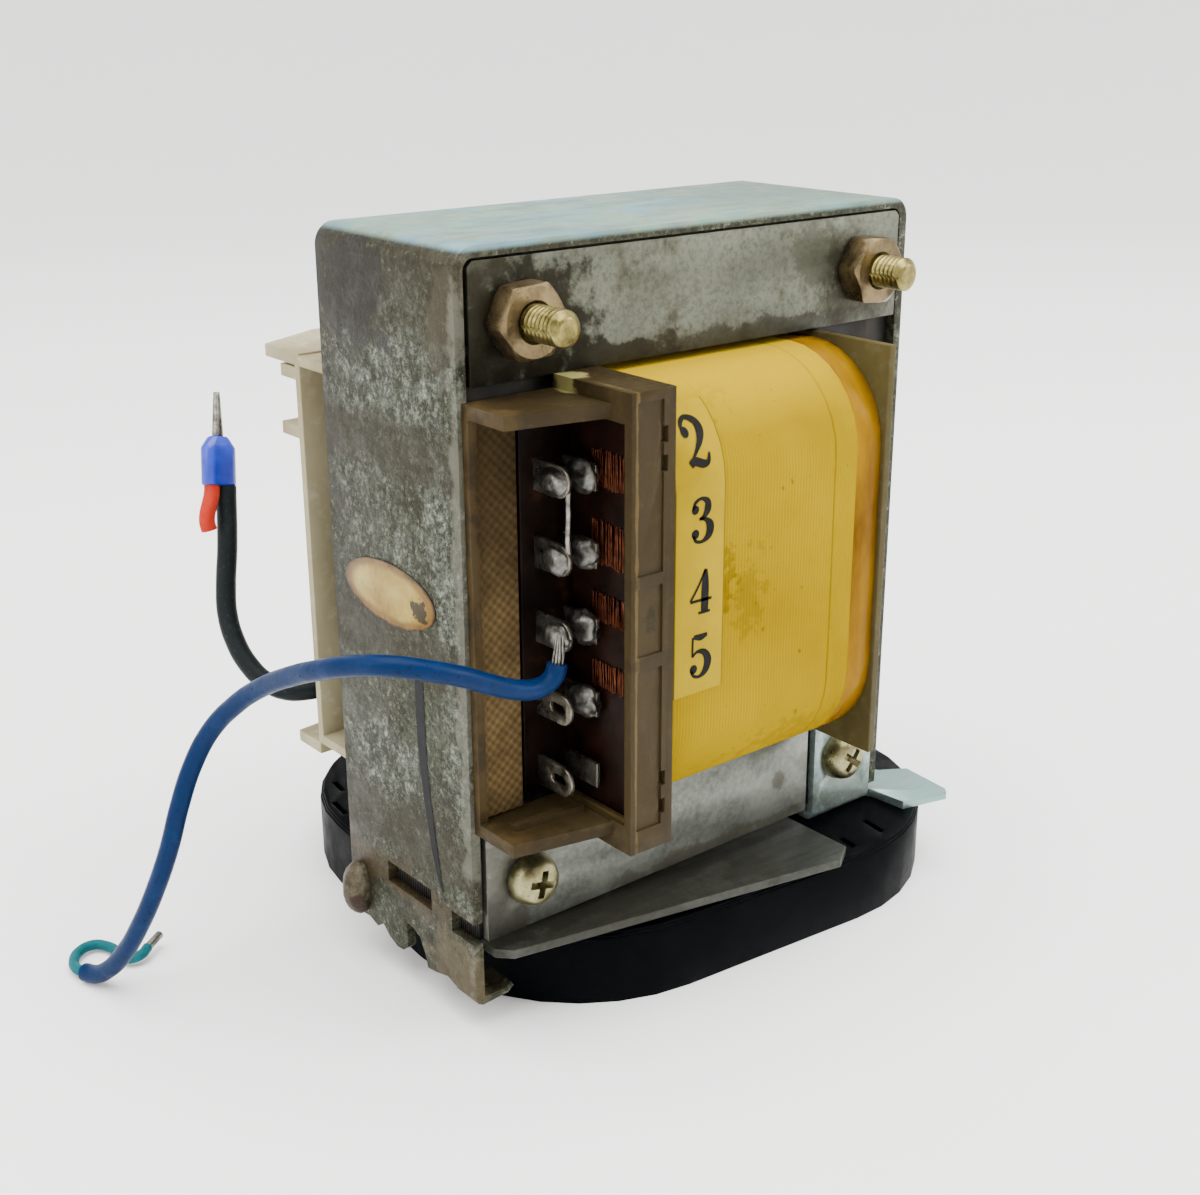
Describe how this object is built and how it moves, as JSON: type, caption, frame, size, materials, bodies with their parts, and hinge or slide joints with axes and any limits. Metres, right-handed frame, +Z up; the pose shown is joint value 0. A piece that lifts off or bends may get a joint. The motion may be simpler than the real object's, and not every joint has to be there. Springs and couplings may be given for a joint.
{
  "type": "laminated chassis transformer",
  "caption": "Laminated-core transformer with a taped coil, bent steel cover, solder lugs in moulded shrouds, loose insulated leads, foot plates and a black base block.",
  "frame": {"origin": "on the surface the base block stands on, directly below the middle of the core", "axes": "+X along the coil's axis towards the foot bracket, +Y from the lug side with the number strip towards the back, +Z up"},
  "size_m": [0.1404, 0.0939, 0.1122],
  "materials": {
    "black_base": "matt moulded",
    "bright_zinc": "satin zinc plate",
    "aged_zinc": "aged, mottled zinc plate",
    "rusty_steel": "stained",
    "cream_sticker": "glossy, yellowed",
    "lamination": "oxide coated sheet",
    "smoked_plastic": "smoky, slightly translucent",
    "enamelled_copper": "enamelled wire",
    "yellow_film": "glossy film",
    "amber_film": "glossy film",
    "yellow_paper": "satin paper",
    "yellow_passivated": "yellow passivated zinc",
    "red_brown_board": "resin board",
    "tinned": "tin plated",
    "solder": "dull solder",
    "cream_cloth": "woven cloth tape",
    "blue_pvc": "satin sleeve",
    "teal_pvc": "satin sleeve",
    "black_pvc": "satin sleeve",
    "red_pvc": "satin sleeve",
    "blue_nylon": "moulded nylon"
  },
  "bodies": {
    "root": {"base_block": "black_base", "foot_plate": "bright_zinc", "side_bracket": "bright_zinc", "cover_strap": "aged_zinc", "leg_rivet": "rusty_steel", "side_sticker": "cream_sticker", "e_laminations": "lamination", "i_laminations": "lamination", "bobbin": "smoked_plastic", "primary_winding": "enamelled_copper", "winding_barrier": "yellow_film", "secondary_winding": "enamelled_copper", "coil_tape": "yellow_film", "margin_tape": "amber_film", "number_strip": "yellow_paper", "top_front_plate": "aged_zinc", "top_back_plate": "aged_zinc", "bottom_front_plate": "bright_zinc", "bottom_back_plate": "bright_zinc", "top_bolts": "yellow_passivated", "top_nuts": "yellow_passivated", "bottom_screws": "yellow_passivated", "bottom_nuts": "yellow_passivated", "front_shroud": "smoked_plastic", "back_shroud": "smoked_plastic", "front_board": "red_brown_board", "front_lugs": "tinned", "back_lugs": "tinned", "front_winding_tags": "tinned", "solder_joints": "solder", "jumper_wire": "tinned", "winding_tails": "enamelled_copper", "cloth_strip": "cream_cloth", "blue_lead": "blue_pvc", "lead_strands": "tinned", "tail_lead": "teal_pvc", "tail_tip": "tinned", "black_lead": "black_pvc", "red_stub": "red_pvc", "ferrule_sleeve": "blue_nylon", "ferrule_pin": "tinned"}
  },
  "joints": []
}
